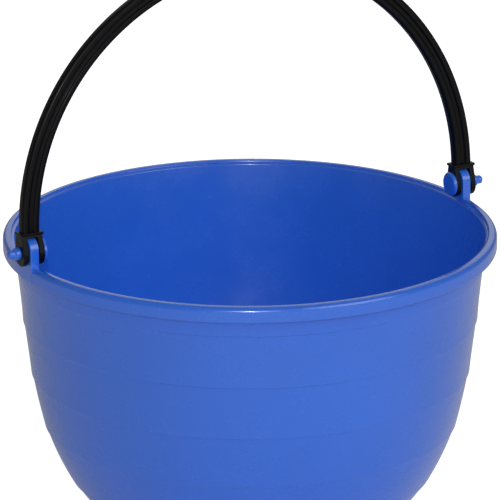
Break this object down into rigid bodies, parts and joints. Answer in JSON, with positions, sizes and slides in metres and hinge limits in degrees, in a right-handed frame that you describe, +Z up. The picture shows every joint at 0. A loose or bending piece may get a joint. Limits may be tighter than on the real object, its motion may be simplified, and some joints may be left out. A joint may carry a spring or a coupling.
{
  "type": "feed bucket",
  "caption": "Round moulded stable bucket with a rolled rim, a foot ring and a swinging handle forked over two lugs and held by snap pins.",
  "frame": {"origin": "middle of the foot ring's face on the ground", "axes": "+Z up, X along the handle's pivot line, +Y towards the side that the stored handle leans to"},
  "size_m": [0.41, 0.3798, 0.4545],
  "materials": {
    "bucket_plastic": "moulded polypropylene, semi-gloss",
    "handle_plastic": "moulded nylon or polypropylene, satin black",
    "pin_plastic": "moulded polypropylene, semi-gloss"
  },
  "bodies": {
    "bucket": {"bucket": "bucket_plastic"},
    "handle": {"bail_handle": "handle_plastic", "left_snap_pin": "pin_plastic", "right_snap_pin": "pin_plastic"}
  },
  "joints": [
    {"name": "handle_swing", "type": "hinge", "parent": "bucket", "child": "handle", "pos_m": [0, 0, 0.2456], "axis": [1, 0, 0], "range_deg": [-90, 94.8]}
  ]
}
